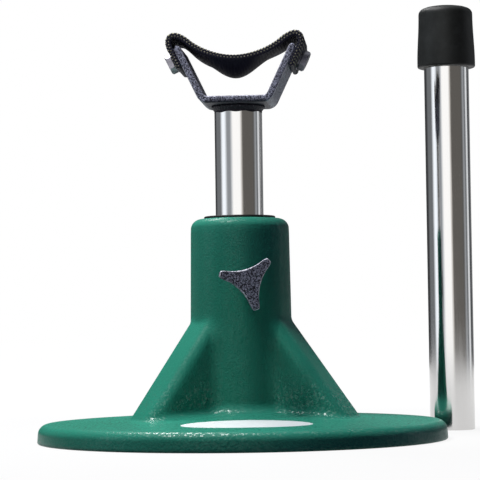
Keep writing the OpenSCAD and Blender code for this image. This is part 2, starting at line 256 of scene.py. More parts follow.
class Finish(Chain):
    """A material with one surface shader; constants go on its sockets, and patterns are linked to them."""

    def __init__(self, name, **constants):
        self.material = bpy.data.materials.new(name)
        self.material.use_nodes = True
        super().__init__(self.material.node_tree)
        self.surface = self.tree.nodes["Principled BSDF"]
        for socket, value in constants.items():
            self.surface.inputs[socket.replace("_", " ")].default_value = value

    def place(self):
        """Place on the piece in the shared frame, in metres."""
        return self.node("ShaderNodeTexCoord", {}, {}, "Object")

    def mark(self, name):
        """Value that the mesh holds at each point under this name."""
        return self.node("ShaderNodeAttribute", {"attribute_name": name}, {}, "Fac")

    def noise(self, scale, detail=2.0, stretch=(1, 1, 1), roughness=0.5):
        """Clouds from 0 to 1, about 1 / scale metres wide, and longer on an axis whose stretch is below 1."""
        spread = self.node("ShaderNodeMapping", {}, {"Vector": self.place(), "Scale": stretch})
        sockets = {"Vector": spread, "Scale": scale, "Detail": detail, "Roughness": roughness}
        return self.node("ShaderNodeTexNoise", {}, sockets)

    def dimples(self, scale):
        """Smooth hollows about 1 / scale metres apart."""
        sockets = {"Vector": self.place(), "Scale": scale}
        return self.node("ShaderNodeTexVoronoi", {"feature": "SMOOTH_F1"}, sockets, "Distance")

    def bump(self, height, strength, distance):
        """Normal that leans as if the surface rose by a height from 0 to 1 times the distance."""
        sockets = {"Height": height, "Strength": strength, "Distance": distance}
        return self.node("ShaderNodeBump", {}, sockets)

    def show(self, **patterns):
        """Links patterns to the sockets of the surface shader that they are named for."""
        for socket, value in patterns.items():
            self.tree.links.new(value.socket, self.surface.inputs[socket.replace("_", " ")])


def dress(piece, body, slot, finish, *nodes):
    """Gives a piece its finish, the body that it moves with, and the solids that it stands for."""
    piece.data.materials.clear()
    piece.data.materials.append(finish.material)
    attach(piece, body)
    if nodes:
        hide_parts(*nodes)
    print(piece.name, "faces", len(piece.data.polygons), "on", body)


# %% [markdown]
# ## The moulded base
# The real base is one moulding in tough polyethylene, with every corner well rounded so that the plastic
# flows and the tool lets go. Boxes with bevels would show their joints. So the shape is one formula, the
# distance to a crowned foot, a tapered column and three fins, joined by a union that leaves a fillet.

# %% Shape of the base, in millimetres
base_r, base_h = 206, 223
rim_h, rim_round, rim_under_round = 19, 7.5, 2
rim_soft, rim_lean = 8.5, math.radians(4)
crown_slope = math.radians(3.5)
column_top_r, column_foot_r, column_round = 49.5, 52.5, 10.5
foot_fillet, fin_fillet, ridge_fillet = 12, 9, 2
fin_t, fin_round = 46, 12.5
fin_top_z, fin_foot_r = 119.6, 123.8
fin_turns = np.radians([-31.5, 88.5, 208.5])
bore_r, socket_floor = 29, 6

column_lean = math.atan((column_foot_r - column_top_r) / base_h)
column_r = lambda z: column_top_r + (base_h - z) * math.tan(column_lean)
rim_end_r = base_r - rim_round + rim_round * math.sin(crown_slope)
rim_end_z = rim_h - rim_round + rim_round * math.cos(crown_slope)
crown_z = lambda r: rim_end_z + (rim_end_r - r) * math.tan(crown_slope)
ridge_fall = math.atan2(fin_top_z - crown_z(fin_foot_r), fin_foot_r - column_r(fin_top_z))


def joined(a, b, r):
    """Distance to two solids joined with a fillet: max(r, min(a, b)) - |max(r - a, 0), max(r - b, 0)|."""
    return np.maximum(r, np.minimum(a, b)) - np.hypot(np.maximum(r - a, 0), np.maximum(r - b, 0))


def cornered(a, b, r):
    """Distance to what two faces enclose, rounded: min(-r, max(a, b)) + |max(r + a, 0), max(r + b, 0)|."""
    return np.minimum(-r, np.maximum(a, b)) + np.hypot(np.maximum(r + a, 0), np.maximum(r + b, 0))


def moulding(x, y, z):
    """Distance to the foot, column and fins, negative inside."""
    r = np.hypot(x, y)
    rim = (r - base_r + z * math.tan(rim_lean)) * math.cos(rim_lean)
    foot = cornered(rim, (z - crown_z(r)) * math.cos(crown_slope), rim_soft)
    column = cornered((r - column_r(z)) * math.cos(column_lean), z - base_h, column_round)
    shape = joined(foot, column, foot_fillet)
    for turn in fin_turns:
        out = x * np.cos(turn) + y * np.sin(turn)
        aside = np.abs(y * np.cos(turn) - x * np.sin(turn))
        over = (out - column_r(fin_top_z)) * math.sin(ridge_fall) + (z - fin_top_z) * math.cos(ridge_fall)
        fin = cornered(aside - fin_t / 2, over, fin_round)
        fillet = np.clip(ridge_fillet - over / 2, ridge_fillet, fin_fillet)
        shape = joined(shape, np.maximum(fin, bore_r - out), fillet)
    return shape


print("ridge falls at", round(math.degrees(ridge_fall), 1), "degrees")

# %% [markdown]
# Rays from a point under the floor meet that shape once each, so a ray's rise and turn are the two
# parameters of the skin. The rows lie close together on roundings and fillets, and wide apart on plain
# stretches. Halving the distance again and again then finds where each ray comes out.

# %% Skin of the base
ray_foot, ray_reach, halvings = -100.0, 500.0, 32
fin_span, fin_step, open_step = 42, 0.75, 2.0
near_fin = np.radians(np.arange(-fin_span, fin_span, fin_step))
past_fin = np.radians(np.arange(fin_span, 120 - fin_span, open_step))
turns = np.concatenate([turn + np.concatenate([near_fin, past_fin]) for turn in fin_turns])
rise = lambda r, z: np.arctan2(np.asarray(z) - ray_foot, r)
quarter = np.linspace(0, np.pi / 2, 12)[1:]
crown_rows, lip_rows = np.linspace(193, 154, 11), np.linspace(37, bore_r + 1.5, 4)
fillets_from_r, fillets_to_z, plain_from_z = 151, 146, 150
fillets_from = rise(fillets_from_r, crown_z(fillets_from_r))
fillets_to = rise(column_r(fillets_to_z), fillets_to_z)
rises = np.concatenate([
    rise(base_r, [rim_under_round, 4, 6, rim_h - rim_soft]),
    rise(base_r - rim_soft * (1 - np.cos(quarter)), rim_h - rim_soft * (1 - np.sin(quarter))),
    rise(crown_rows, crown_z(crown_rows)),
    np.linspace(fillets_from, fillets_to, 130),
    rise(column_r(plain_from_z), np.linspace(plain_from_z, base_h - column_round, 9)),
    rise(column_top_r - column_round * (1 - np.cos(quarter)), base_h - column_round * (1 - np.sin(quarter))),
    rise(lip_rows, base_h),
])
up, round_about = np.meshgrid(rises, turns, indexing="ij")
ray = np.stack([np.cos(up) * np.cos(round_about), np.cos(up) * np.sin(round_about), np.sin(up)])
inner, outer = np.zeros_like(up), np.full_like(up, ray_reach)
for halving in range(halvings):
    middle = (inner + outer) / 2
    inside = moulding(ray[0] * middle, ray[1] * middle, ray[2] * middle + ray_foot) < 0
    inner, outer = np.where(inside, middle, inner), np.where(inside, outer, middle)
shell = np.moveaxis(ray * inner, 0, 2) + [0, 0, ray_foot]
print("rows", len(rises), "columns", len(turns))

# %% [markdown]
# The skin closes under the foot, and runs down the bore to the socket's floor. A shallow pocket in the
# wall of the bore gives the clamp's pad room to draw back. Boots polish the foot and the lower ends of
# the fins, so the mesh marks how much each point is trodden.

# %% Underside, bore and wear
circle = np.stack([np.cos(turns), np.sin(turns)], axis=1)
clamp_z, pad_room, pocket_depth, pocket_edge = 158, 7.5, 4, 0.2
at_pad = (np.abs(bore_r * circle[:, 0]) < pad_room) * (circle[:, 1] < 0)
pocket_r = bore_r + pocket_depth * at_pad


def level(r, z):
    """Ring of points at the height z, with one radius or one for each turn."""
    return np.column_stack([np.reshape(r, (-1, 1)) * circle, np.full(len(circle), z)])[None]


under_turns, under_ring_r = (0.0, 0.5, 1.0), 120
under = [
    level(base_r - rim_under_round * (1 - math.sin(a)), rim_under_round * (1 - math.cos(a)))
    for a in under_turns
]
mouth = [
    level(bore_r + 0.4, base_h), level(bore_r, base_h - 1), level(bore_r, base_h - 3),
    level(bore_r, clamp_z + pad_room + pocket_edge), level(pocket_r, clamp_z + pad_room),
    level(pocket_r, clamp_z - pad_room), level(bore_r, clamp_z - pad_room - pocket_edge),
    level(bore_r, socket_floor), level(0, socket_floor),
]
base_grid = np.concatenate([level(0, 0), level(under_ring_r, 0), *under, shell, *mouth])
step_r, step_z = np.hypot(base_grid[..., 0], base_grid[..., 1]), base_grid[..., 2]
tread_low, tread_high, tread_out = (11, 17), (70, 40), (52, 60)
trodden = ramp(step_z, *tread_low) * ramp(step_z, *tread_high) * ramp(step_r, *tread_out)
base = skin("base_shell", base_grid * mm, marks={"trodden": trodden})
print("base points", base_grid.shape[:2])

# %% [markdown]
# The green is a dye through the whole plastic, so wear leaves no bare patches, but its tone clouds a
# little and the peel of its skin breaks up every highlight. The gloss is a coat in small grains: faint on
# the column, and bright where the moulding is trodden.

# %% Green moulding
green = Finish("green_moulding", Specular_IOR_Level=0.06, Coat_Roughness=0.24)
cloud = green.noise(9.0, 4.0)
peel = green.noise(500.0, 1.0)
polish = green.mark("trodden")
speck = green.noise(420.0, 1.0)
green.show(
    Base_Color=green.mix(cloud.between(0.3, 0.7), (0.024, 0.245, 0.165, 1), (0.032, 0.280, 0.195, 1)),
    Roughness=green.noise(60.0, 3.0) * 0.14 + 0.32,
    Coat_Weight=speck.between(0.53, 0.61) * polish + speck.between(0.3, 0.7) * (1 - polish) * 0.25,
    Normal=green.bump(peel, 0.3, 0.0012),
)
dress(base, "base", "green_moulding", green, "base_body")

# %% [markdown]
# ## The label's place
# A bare oval sticker lies on the front of the foot. It follows the crown of the foot, a quarter of a
# millimetre proud. A flat oval would sink into the crown, so its rows take their height from the crown's
# own formula.

# %% Oval sticker
sticker_turn = math.radians(-93.3)
sticker_r, sticker_half_w, sticker_half_d = 135, 62.5, 31
sticker_t, sticker_sunk, sticker_rows = 0.25, 0.3, 12
a = np.linspace(0, 2 * np.pi, 128, endpoint=False)
share = np.concatenate([np.linspace(0, 1, sticker_rows), [1, 1, 0.994], np.linspace(0.97, 0, sticker_rows)])
edge_height = [-sticker_sunk, sticker_t * 0.6, sticker_t]
low, high = np.full(sticker_rows, -sticker_sunk), np.full(sticker_rows, sticker_t)
height = np.concatenate([low, edge_height, high])
aside = share[:, None] * sticker_half_w * np.cos(a)
out = sticker_r + share[:, None] * sticker_half_d * np.sin(a)
x = out * np.cos(sticker_turn) - aside * np.sin(sticker_turn)
y = out * np.sin(sticker_turn) + aside * np.cos(sticker_turn)
z = crown_z(np.hypot(x, y)) + height[:, None]
sticker = skin("label_place", np.stack([x, y, z], axis=2) * mm)
film = Finish("label_film")
film.show(
    Base_Color=film.mix(film.noise(25.0, 3.0), (0.88, 0.95, 0.95, 1), (0.92, 0.98, 0.98, 1)),
    Roughness=film.noise(120.0, 2.0) * 0.2 + 0.28,
)
dress(sticker, "base", "green_moulding", film)

# %% [markdown]
# ## Steel posts
# Both posts are cut from drawn steel tube and polished lengthwise. A lathe shape with broken edges stands
# for each. The polish leaves fine streaks along the tube, which blur its reflections a little.

# %% Posts
tube_r, tube_wall, tube_break = 24.15, 3.2, 0.6
tube_sides = 192


def tube_section(low, high):
    """Outline of the tube's wall between two heights, with its edges broken."""
    inner_r = tube_r - tube_wall
    return rounded([(tube_r, low), (tube_r, high), (inner_r, high), (inner_r, low)], tube_break)


tube_from, tube_to = (corner.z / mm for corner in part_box("post_tube"))
post = turned("post_tube_polished", tube_section(tube_from, tube_to), sides=tube_sides)
spare_low, spare_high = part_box("spare_tube")
spare_at = Matrix.Translation(((spare_low.x + spare_high.x) / 2, (spare_low.y + spare_high.y) / 2, 0))
spare_edge = tube_section(spare_low.z / mm, spare_high.z / mm)
spare = turned("spare_tube_polished", spare_edge, sides=tube_sides, place=spare_at)
print("post from", round(tube_from, 1), "to", round(tube_to, 1))

# %% Polished steel
steel = Finish("polished_steel", Metallic=1.0)
streak = steel.noise(700.0, 2.0, stretch=(1, 1, 0.03))
blotch = steel.noise(30.0, 4.0)
steel.show(
    Base_Color=steel.mix(streak * 0.5 + blotch * 0.5, (0.62, 0.613, 0.606, 1), (0.68, 0.673, 0.666, 1)),
    Roughness=streak * 0.06 + blotch * 0.05 + 0.05,
    Normal=steel.bump(streak, 0.05, 0.0004),
)
dress(post, "post", "polished_steel", steel, "post_tube")
dress(spare, "spare_post", "polished_steel", steel, "spare_tube")

# %% [markdown]
# ## Rubber ring and cap
# The ring at the column's mouth keeps the post from rattling, and the cap keeps the spare post from
# marking what it carries. Both are moulded in black rubber and round, so an outline with soft corners is
# spun for each. The cap swells towards its mouth, and a rounded brow leads over to its slightly domed
# top.

# %% Ring and cap
rub_gap = 0.08
ring_low, ring_high = (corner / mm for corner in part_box("grip_ring"))
flange_r, sleeve_r, grip_r, flange_t = ring_high.x, bore_r - rub_gap, tube_r + rub_gap, 2.5
flange_low = ring_high.z - flange_t
ring_corners = [
    (grip_r, ring_low.z), (sleeve_r, ring_low.z), (sleeve_r, flange_low),
    (flange_r, flange_low), (flange_r, ring_high.z), (grip_r, ring_high.z),
]
grip = turned("grip_ring_rubber", rounded(ring_corners, [0.6, 0.6, 0, 0.8, 1.1, 0.7], hold=0.2))

cap_low, cap_high = (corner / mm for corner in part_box("spare_cap"))
cap_h, cap_foot_r, cap_top_r = cap_high.z - cap_low.z, 31.25, 29.25
cap_bore_r, cap_roof_z = tube_r + 0.02, cap_h - 9
cap_round, cap_dome = 7, 3
wall_from, wall_rise = 6, 50
crown_r, crown_fall = 22, 2.45
swell = np.linspace(0, 1, 10)
swell_r = cap_foot_r - (cap_foot_r - cap_top_r) * swell**2 * (3 - 2 * swell)
cap_wall = np.column_stack([swell_r, wall_from + swell * wall_rise])
brow = np.linspace(0, np.radians(78), 8)
brow_r, brow_z = cap_top_r - cap_round, cap_h - cap_dome - cap_round
dome = np.column_stack([brow_r + cap_round * np.cos(brow), brow_z + cap_round * np.sin(brow)])
crown_at = np.linspace(crown_r, 0, 9)
crown = np.column_stack([crown_at, cap_h - crown_fall * (crown_at / crown_r) ** 2])
lip_corners = [(0, cap_roof_z), (cap_bore_r, cap_roof_z), (cap_bore_r, 0), (cap_foot_r, 0), (cap_foot_r, 5)]
lip = rounded(lip_corners, [0, 0.5, 0.8, 2, 0], closed=False)
cap_outline = np.vstack([lip, cap_wall, dome, crown]) + [0, cap_low.z]
cap = turned("spare_cap_rubber", cap_outline, closed=False, place=spare_at)
print("cap", round(cap_h, 1), "high")

# %% [markdown]
# Rubber that has lain about is matt and slightly dusty, and its skin has a fine tooth that kills sharp
# highlights.

# %% Black rubber
rubber = Finish("black_rubber", Specular_IOR_Level=0.2)
dust = rubber.noise(70.0, 5.0, roughness=0.65)
rubber.show(
    Base_Color=rubber.mix(dust.between(0.35, 0.8), (0.005, 0.006, 0.006, 1), (0.014, 0.016, 0.016, 1)),
    Roughness=dust * 0.25 + 0.35,
    Normal=rubber.bump(rubber.noise(1400.0, 2.0), 0.25, 0.0004),
)
dress(grip, "swivel", "black_rubber", rubber, "grip_ring")
dress(cap, "spare_post", "black_rubber", rubber, "spare_cap")

# %% [markdown]
# ## Bent bar cradle
# A length of flat bar is bent to a U whose arms lean out, its ends are rounded, and it is welded on the
# post. A bar is a rounded rectangle carried along the line of its middle: straight, bend, straight, and a
# half-round nose where its thickness runs out. The same surface carries the sling, so `strap` makes both.
# It also marks the points near the bar's rims, those that lie low in its thickness, how low each point lies
# on a level stretch, for a painted shade, and the edges that are rubbed, which also get a painted highlight.

# %% Bar and strap surface
def strap(name, middle, normal, half, width, edge, lanes, tilt, proud=None, sink=None):
    """Rounded rectangle carried along a line in the cradle's plane: P = (x + n_x h, y, z + n_z h) for (y, h)
    round the section; proud lifts its upper face, sink lowers all of it, and tilt sets it on the post."""
    thick = half.max()
    y_in, h_in = width / 2 - edge, thick - edge
    corner = np.linspace(0, np.pi / 2, 6)[:, None]
    bow = lambda start: edge * np.hstack([np.cos(start + corner), np.sin(start + corner)])
    nook = lambda y, h, start: bow(start) + [y, h]
    run = np.linspace(-y_in, y_in, lanes)[1:-1, None]
    section = np.vstack([
        np.hstack([run, 0 * run + thick])[::-1],
        nook(-y_in, h_in, np.pi / 2), nook(-y_in, -h_in, np.pi),
        np.hstack([run, 0 * run - thick]),
        nook(y_in, -h_in, 3 * np.pi / 2), nook(y_in, h_in, 0),
    ])
    y, h = section.T
    taper = (half / thick)[:, None]
    lift = h * taper
    along, around = lengths(middle), lengths(np.vstack([section, section[:1]]))
    if proud is not None:
        lift = lift + proud(along[:, None], around[:-1]) * (h > thick - 0.01) * taper
    x = middle[:, :1] + normal[:, :1] * lift
    z = middle[:, 1:] + normal[:, 1:] * lift - (0 if sink is None else sink(middle[:, :1], y))
    grid = np.stack([x, np.broadcast_to(y, x.shape), z], axis=2) * mm
    plane = np.stack(np.meshgrid(along, around, indexing="ij"), axis=2) * mm
    rim_reach = 2.5
    rim = ramp(np.abs(y), width / 2 - rim_reach, width / 2) * (1 + 0 * x)
    lying = ramp(normal[:, 1:], 0.875, 1)
    marks = {
        "rim": rim,
        "depth": thick - lift,
        # Painted shade: it grows towards the underside of a level stretch.
        "shade": lying * (1 - lift / thick) / 2,
        # Rubbed edges, which are also a painted highlight, left off the underside of a level stretch.
        "wear_and_highlight": 1.4 * rim * ramp(np.abs(lift / thick), 0.6, 1) * (1 - lying * (lift < 0)),
    }
    return skin(name, placed(grid, tilt), plane=plane, marks=marks)


# %% Bent bar
bar_t, bar_w, bar_edge, bar_lanes = 7, 76, 1.6, 24
cradle_floor_w, arm_rise, bend_r = 61.8, 52, 5
arm_lean, cradle_yaw = math.radians(25.5), math.radians(-9.5)
heading = lambda angle: np.array([math.cos(angle), math.sin(angle)])
arm_up, arm_out = heading(math.pi / 2 - arm_lean), heading(-arm_lean)
arm_len = arm_rise / math.cos(arm_lean)
arm_root = np.array([cradle_floor_w / 2, 0])
arm_tip = arm_root + arm_len * arm_up
bend_centre = np.array([cradle_floor_w / 2 - bend_r * math.tan((math.pi / 2 - arm_lean) / 2), bend_r])
cradle_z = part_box("cradle_bracket")[0].z / mm + bar_t
on_cradle = Matrix.Translation((0, 0, cradle_z * mm)) @ Matrix.Rotation(cradle_yaw, 4, "Z")
both_ways = lambda half_line: np.vstack([half_line, half_line[-2::-1] * [-1, 1]])


def upper_side(line):
    """Unit normal (t_z, -t_x) of a line, which points up where the line runs from right to left."""
    travel = np.gradient(line, axis=0)
    travel /= np.linalg.norm(travel, axis=1, keepdims=True)
    return np.column_stack([travel[:, 1], -travel[:, 0]])


nose = np.linspace(0, np.pi / 2, 8)[:, None]
nose_line = arm_tip + bar_t / 2 * (arm_out - (1 - np.cos(nose)) * arm_up)
bend_turns = np.linspace(-arm_lean, -np.pi / 2, 17)
bend_line = bend_centre + (bend_r + bar_t / 2) * np.column_stack([np.cos(bend_turns), np.sin(bend_turns)])
arm_share = np.linspace(0, 1, 22)[1:-1, None]
floor_share = np.linspace(0, 1, 9)[1:, None]
bar_line = both_ways(np.vstack([
    nose_line,
    nose_line[-1] * (1 - arm_share) + bend_line[0] * arm_share,
    bend_line,
    bend_line[-1] * (1 - floor_share) + np.array([0, -bar_t / 2]) * floor_share,
]))
nose_half = bar_t / 2 * np.sin(nose[:, 0])
bar_half = np.full(len(bar_line), bar_t / 2)
bar_half[: len(nose_half)], bar_half[-len(nose_half):] = nose_half, nose_half[::-1]
bar = strap("cradle_bar", bar_line, upper_side(bar_line), bar_half, bar_w, bar_edge, bar_lanes, on_cradle)
print("bar length", round(float(lengths(bar_line)[-1]), 1))

# %% [markdown]
# Hammered powder coat is dark with silver flecks, and dimpled a couple of millimetres apart. Its edges
# are rubbed bright, because the bar's corners take every knock, and the same bright edges are a painted
# highlight. A painted shade turns the flecks black under the level floor of the cradle and on the lower
# part of its front. Noise cut off at two heights gives the flecks, so one function makes the denser coat of
# the bar, the even one of the knob and the dull one of the weld.

# %% Hammered coat
def hammered(name, sparse, dense, silver):
    """Coat whose flecks are noise cut off between sparse and dense, rubbed bright where the mesh says so,
    which is also a painted highlight, and blackened by a painted shade where the mesh marks shade.
    """
    coat = Finish(name, Specular_IOR_Level=0.16)
    # Painted shade: the flecks fade to black low on a level stretch of the bar.
    thick = coat.mark("shade").between(0.35, 0.85)
    fleck = coat.noise(850.0, 2.0, roughness=0.6).between(sparse, dense) * (1 - thick * 0.8)
    # Rubbed edges, which are also a painted highlight.
    rubbed_edge_and_highlight = (coat.mark("wear_and_highlight") + coat.noise(300.0, 3.0) * 0.8 - 0.55).between(0.25, 0.75)
    flecked = coat.mix(fleck, (0.012, 0.012, 0.02, 1), silver)
    coat.show(
        Base_Color=coat.mix(rubbed_edge_and_highlight * 0.8, flecked, (0.55, 0.55, 0.62, 1)),
        Metallic=fleck * 0.15 + rubbed_edge_and_highlight * 0.3,
        Roughness=0.55 - fleck * 0.12,
        Normal=coat.bump(coat.dimples(420.0), 0.5, 0.0009),
    )
    return coat


bar_coat = hammered("powder_coat", 0.38, 0.62, (0.45, 0.47, 0.60, 1))
weld_coat = hammered("weld_coat", 0.55, 0.75, (0.14, 0.14, 0.18, 1))
knob_coat = hammered("knob_coat", 0.44, 0.58, (0.29, 0.30, 0.39, 1))
dress(bar, "post", "powder_coat", bar_coat, "cradle_bracket")

# %% [markdown]
# The bar is welded on the post all round, before it is coated. A bead is a row of small overlapping
# pools, so its radius swells and falls round the post, most of all where the bead stands proudest. The
# coat runs a little way down the tube below the bead, where it ends in a wavy line.

# %% Weld bead
weld_h, weld_out, pools, pool_swell = 5.6, 4, 46, 0.7
spray_h, spray_t, spray_waves, spray_wave_h = 7.4, 0.05, 9, 0.5
weld_in, weld_top = tube_r - 0.4, 0.2
a = np.linspace(0, 2 * np.pi, pools * 8, endpoint=False)
bead_corners = [
    (weld_in, -spray_h), (tube_r + spray_t, -spray_h), (tube_r + spray_t, -weld_h),
    (tube_r + weld_out, weld_top), (weld_in, weld_top),
]
bead_r, bead_z = rounded(bead_corners, [0.02, 0.02, 1.2, 1.6, 0.2], hold=0.3).T[:, :, None]
proud = ramp(bead_r, tube_r, tube_r + weld_out) * (bead_z < -weld_top)
r = bead_r + proud * pool_swell * np.abs(np.cos(pools / 2 * a))
z = bead_z + cradle_z - bar_t + spray_wave_h * np.cos(spray_waves * a) * (bead_z < -weld_h - 1)
weld = skin("weld_bead", ringed(r, a, z), loop_rows=True)
dress(weld, "post", "powder_coat", weld_coat)

# %% [markdown]
# ## Strap sling
# The sling is a strip of woven-faced rubber belting. It is bolted outside the arms, loops over their tips
# with some slack and sags between them. Such stiff belting keeps smooth curves, so its line is two
# straight tails and four cubic curves that meet without a kink, and not a cloth simulation.

# %% Line of the sling
sling_t, sling_w, tail_len, tail_gap = 5.5, 76, 21.5, 0.1
sling_seat = 41
sling_slope, loop_gap = math.radians(40), 4.6
loop_rise, loop_fall, sling_slack, sling_level = 11.5, 22, 16, 15
sling_run, sling_up = -heading(sling_slope), heading(math.pi / 2 + sling_slope)
tail_line = bar_t + tail_gap + sling_t / 2
tail_end = arm_root + (arm_len - tail_len) * arm_up + tail_line * arm_out
tail_top = arm_tip + tail_line * arm_out
loop_end = arm_tip + (sling_t / 2 + loop_gap) * sling_up + sling_t * sling_run
sling_mid = np.array([0, sling_seat - sling_t / 2])


def bezier(p, t):
    """Cubic curve (1-t)^3 p0 + 3t(1-t)^2 p1 + 3t^2(1-t) p2 + t^3 p3."""
    t = t[:, None]
    return (1 - t) ** 3 * p[0] + 3 * t * (1 - t) ** 2 * p[1] + 3 * t * t * (1 - t) * p[2] + t**3 * p[3]


fine = np.linspace(0, 1, 200)
course = both_ways(np.vstack([
    tail_end + fine[:-1, None] * tail_len * arm_up,
    bezier([tail_top, tail_top + loop_rise * arm_up, loop_end - loop_fall * sling_run, loop_end], fine)[:-1],
    bezier([loop_end, loop_end + sling_slack * sling_run, sling_mid + [sling_level, 0], sling_mid], fine),
]))
run = lengths(course)
sling_len = run[-1]
print("sling length", round(sling_len, 1))

# %% [markdown]
# A leg's weight has dished the middle of the sling and twisted it slightly. The weave's knuckles stand
# out of the upper face in a staggered lattice. They are part of the mesh, because they show against the
# light along the sling's outline. So the strap is cut into steps of a fifth of the weave.

# %% Sling
weave, knuckle_h = 3.4, 0.55
sling_dish, dish_reach = 13.8, 40
sling_twist, twist_reach = 3.5, 56
sling_edge, sling_lanes = 1.0, 112


def knuckles(along, around):
    """Height of the weave: h cos(2 pi u / w) cos(2 pi v / w) where that is above nought."""
    return knuckle_h * np.clip(np.cos(2 * np.pi * along / weave) * np.cos(2 * np.pi * around / weave), 0, 1)


def sag(x, y):
    """Fall of the sling: a dish d cos(pi x / 2a)^2 that flattens towards both rims, and a twist
    -t sin(pi x / b) that grows from one rim to the other."""
    dish = np.where(np.abs(x) < dish_reach, sling_dish * np.cos(np.pi / 2 * x / dish_reach) ** 2, 0)
    twist = np.where(np.abs(x) < twist_reach, -sling_twist * np.sin(np.pi * x / twist_reach), 0)
    return dish * (1 - (2 * y / sling_w) ** 2) + twist * (0.5 + y / sling_w)


end_steps = sling_t / 2 * (1 - np.cos(np.linspace(0, np.pi / 2, 7)))
plain_steps = np.linspace(sling_t / 2, sling_len - sling_t / 2, int(sling_len / weave * 5))
steps = np.concatenate([end_steps[:-1], plain_steps, sling_len - end_steps[-2::-1]])
sling_line = np.column_stack([np.interp(steps, run, course[:, k]) for k in (0, 1)])
from_end = np.minimum(np.minimum(steps, sling_len - steps), sling_t / 2)
sling_half = np.sqrt((sling_t / 2) ** 2 - (sling_t / 2 - from_end) ** 2)
sling = strap(
    "sling_belt", sling_line, upper_side(sling_line), sling_half, sling_w, sling_edge, sling_lanes,
    on_cradle, proud=knuckles, sink=sag,
)
print("sling steps", len(steps))

# %% [markdown]
# Belting is black rubber on pale cord. Where it is cut, along its edges, the ends of the cord show in two
# rows at two depths; on its upper face a paler line runs across with each row of the weave. The pattern
# follows the strap, so it is written in the strap's flat length and in the depth below its face that the
# mesh marks.

# %% Woven belt
cord_depths, cord_spread, rib_pitch = (0.7, 3.0), 1.2, 2.9
belt = Finish("belt", Specular_IOR_Level=0.1)
flat_place = belt.node("ShaderNodeTexCoord", {}, {}, "UV")
flat_length = belt.node("ShaderNodeSeparateXYZ", {}, {"Vector": flat_place})
beat = flat_length * (2 * math.pi / (weave * mm))
depth = belt.mark("depth")
cut = belt.mark("rim").between(0.5, 0.7)
face = 1 - depth.between(0.2, 0.5)


def cord_row(cord_depth, phase):
    """Ends of cord in a row at one depth: a wave along the strap, faded with the square of the distance."""
    away = depth - cord_depth
    return (((beat + phase).wave() * 0.5 + 0.5) * (1 - away * away * cord_spread)).between(0.35, 0.75)


cord = cord_row(cord_depths[0], 0.0).larger(cord_row(cord_depths[1], math.pi) * 0.7)
ribs = (flat_length * (2 * math.pi / (rib_pitch * mm))).wave() * 0.5 + 0.5
grime = belt.noise(45.0, 4.0)
light = (cord * cut).larger(beat.wave().between(0.2, 0.9) * face * 0.6) * (grime * 0.8 + 0.6)
black = belt.mix(grime, (0.014, 0.014, 0.025, 1), (0.028, 0.028, 0.048, 1))
thread = belt.mix(belt.noise(240.0, 2.0), (0.26, 0.27, 0.12, 1), (0.66, 0.62, 0.47, 1))
belt.show(
    Base_Color=belt.mix(light, black, thread),
    Roughness=grime * 0.15 + 0.55,
    Normal=belt.bump(ribs * (1 - face) + belt.noise(1500.0, 2.0) * 0.25, 0.4, 0.0006),
)
dress(sling, "post", "belt", belt, "sling")

# %% [markdown]
# ## Bolts and washers
# A hexagon-head bolt and a washer hold each tail. Heads are forged and trimmed, so their corners are
# slightly rounded and their outer face is chamfered by a cone. A power sum over its six flats gives such
# a rounded hexagon in one formula. The washers are punched, with a soft edge on one side.

# %% Shape of a bolt
bolt_flats, bolt_head_h, head_chamfer = 19, 6.2, 1.4
bolt_r, washer_r, washer_t, bolt_drop = 5, 11, 1.2, 8.2
bolt_at = arm_root + (arm_len - bolt_drop) * arm_up
washer_z = bar_t + sling_t + 0.2
head_z = washer_z + washer_t + 0.1
corner_power = 48


def on_bolt(side):
    """Matrix that lays +Z on the axis of the right arm's bolt for side 0, or the left arm's for side 1."""
    at_bolt = Matrix.Translation((bolt_at[0] * mm, 0, bolt_at[1] * mm))
    out_of_arm = Matrix.Rotation(math.pi / 2 + arm_lean, 4, "Y")
    return on_cradle @ Matrix.Rotation(math.pi * side, 4, "Z") @ at_bolt @ out_of_arm


def hexagon_bolt(name, place):
    """Rows of min(hexagon, cone), where r(a) = f / (sum of cos(a - a_k)^p)^(1/p) rounds the corners."""
    a = np.linspace(0, 2 * np.pi, 144, endpoint=False)
    flats = np.clip(np.cos(a[:, None] - np.arange(6) * np.pi / 3 - np.pi / 6), 0, 1)
    hexagon = bolt_flats / 2 / (flats**corner_power).sum(1) ** (1 / corner_power)
    cone = bolt_flats / math.sqrt(3)
    top = head_z + bolt_head_h
    shank = [(0, -0.3), (bolt_r - 0.8, -0.3), (bolt_r, 0.4), (bolt_r, head_z), (bolt_flats / 2 - 1, head_z)]
    rows = [(np.minimum(hexagon, r), z) for r, z in shank]
    rows += [(hexagon - inset, head_z + z) for inset, z in ((0.3, 0), (0, 0.3), (0, 0.7))]
    fall = np.linspace(-1.0, 1, 14)
    below, above = np.minimum(fall, 0), np.maximum(fall, 0)
    chamfer_r = cone - 0.25 - above * head_chamfer * 0.9
    chamfer_z = top - head_chamfer * (1 - above) + below * 1.2
    rows += [(np.minimum(hexagon, r), z) for r, z in zip(chamfer_r, chamfer_z)]
    rows += [(np.minimum(hexagon, cone - head_chamfer - inset), top) for inset in (0.4, 1.0, 4)]
    rows += [(0 * a, top)]
    r, z = np.array([row[0] + 0 * a for row in rows]), np.array([row[1] for row in rows])[:, None]
    return skin(name, placed(ringed(r, a, z), place))


print("bolt head at", round(head_z, 1), "from the arm's inner face")

# %% [markdown]
# Plated steel tarnishes in clouds. Each bolt and its washer share one plated steel, in a lit and a shaded
# copy: a painted shade makes the right ones dark, and painted light makes the left ones lighter.

